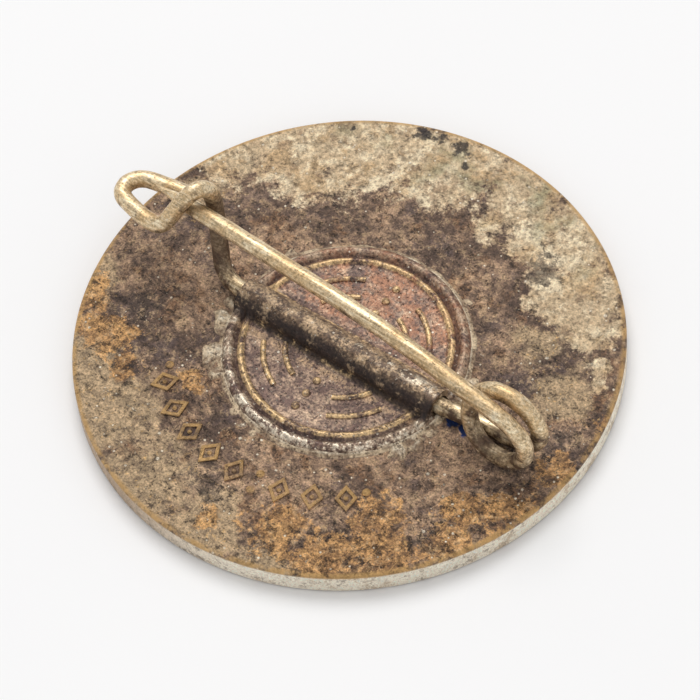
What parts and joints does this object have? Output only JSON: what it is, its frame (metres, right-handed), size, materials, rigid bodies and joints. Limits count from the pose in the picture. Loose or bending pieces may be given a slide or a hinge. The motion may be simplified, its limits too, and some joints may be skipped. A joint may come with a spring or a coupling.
{
  "type": "enamel pin badge",
  "caption": "Round struck-metal badge with an enamelled front and, on its back, a soldered barrel plate holding a coil-sprung needle and its wire catch.",
  "frame": {"origin": "middle of the enamelled front face, which lies on the table", "axes": "+Z from the front face through the disc to the pin side; +X along the barrel from the catch to the spring coil"},
  "size_m": [0.025, 0.025, 0.0068],
  "materials": {
    "struck_tombac": "dark brown patina with worn golden edges",
    "plate_tombac": "dark patina, worn coppery on the raised lines",
    "soft_solder": "dull grey-white solder",
    "brass_wire": "rubbed brass wire, darker underneath",
    "blue_enamel": "polished opaque enamel",
    "white_enamel": "polished opaque enamel",
    "yellow_enamel": "polished opaque enamel"
  },
  "bodies": {
    "badge": {"badge_body": "struck_tombac", "enamel_border": "blue_enamel", "enamel_centre": "yellow_enamel", "enamel_petal_1": "white_enamel", "enamel_petal_2": "white_enamel", "enamel_petal_3": "white_enamel", "enamel_petal_4": "white_enamel", "enamel_petal_5": "white_enamel", "enamel_petal_6": "white_enamel", "enamel_petal_7": "white_enamel", "enamel_petal_8": "white_enamel", "enamel_field_1": "blue_enamel", "enamel_field_2": "blue_enamel", "enamel_field_3": "blue_enamel", "enamel_field_4": "blue_enamel", "enamel_field_5": "blue_enamel", "enamel_field_6": "blue_enamel", "enamel_field_7": "blue_enamel", "enamel_field_8": "blue_enamel", "solder_plate": "plate_tombac", "solder_seam": "soft_solder", "catch_wire": "brass_wire"},
    "coil": {"spring_coil": "brass_wire"},
    "needle": {"needle": "brass_wire"}
  },
  "joints": [
    {"name": "needle_lift", "type": "hinge", "parent": "badge", "child": "coil", "pos_m": [0.0092, -0.00093, 0.00325], "axis": [0, 1, 0], "range_deg": [0, 36], "deforming": ["spring_coil"]},
    {"name": "needle_release", "type": "hinge", "parent": "coil", "child": "needle", "pos_m": [0.0093, -0.00148, 0.00494], "axis": [-0.9642, -0.2538, 0.0773], "range_deg": [0, 360]}
  ],
  "couplings": [
    {"joint": "needle_lift", "follows": "needle_release", "ratio": 0.1}
  ]
}
